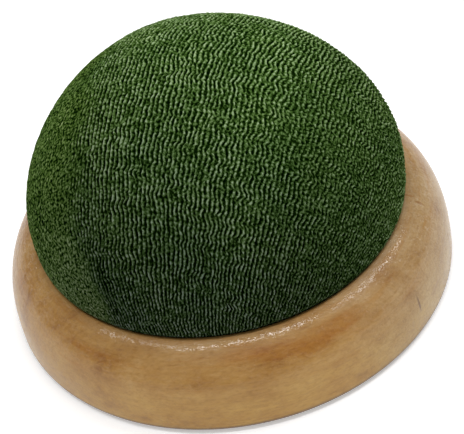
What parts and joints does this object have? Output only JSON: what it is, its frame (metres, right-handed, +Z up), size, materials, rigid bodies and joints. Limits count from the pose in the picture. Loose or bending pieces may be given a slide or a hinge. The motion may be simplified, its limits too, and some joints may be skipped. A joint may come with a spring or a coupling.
{
  "type": "pin cushion",
  "caption": "Stuffed crepe-covered dome for holding sewing pins, set in a turned wooden dish with a felt underside.",
  "frame": {"origin": "centre of the felt pad's underside, on the surface that the pin cushion stands on", "axes": "+Z up along the axis that the dish and the dome are turned about; -Y is the side shown to the viewer"},
  "size_m": [0.08, 0.08, 0.0491],
  "materials": {
    "turned_wood": "satin varnish",
    "green_crepe": "matt crinkled crepe",
    "calico": "matt plain weave",
    "fibre_filling": "matt fibre",
    "plywood": "unfinished",
    "green_thread": "matt twisted thread",
    "cotton_thread": "matt twisted thread",
    "plated_screw_steel": "zinc plated",
    "washer_steel": "zinc plated",
    "felt": "matt wool felt"
  },
  "bodies": {
    "root": {"wooden_base": "turned_wood", "crepe_cover": "green_crepe", "lining_bag": "calico", "stuffing": "fibre_filling", "backing_board": "plywood", "gathering_thread": "green_thread", "lining_thread": "cotton_thread", "fixing_screw": "plated_screw_steel", "screw_washer": "washer_steel", "felt_pad": "felt"}
  },
  "joints": []
}
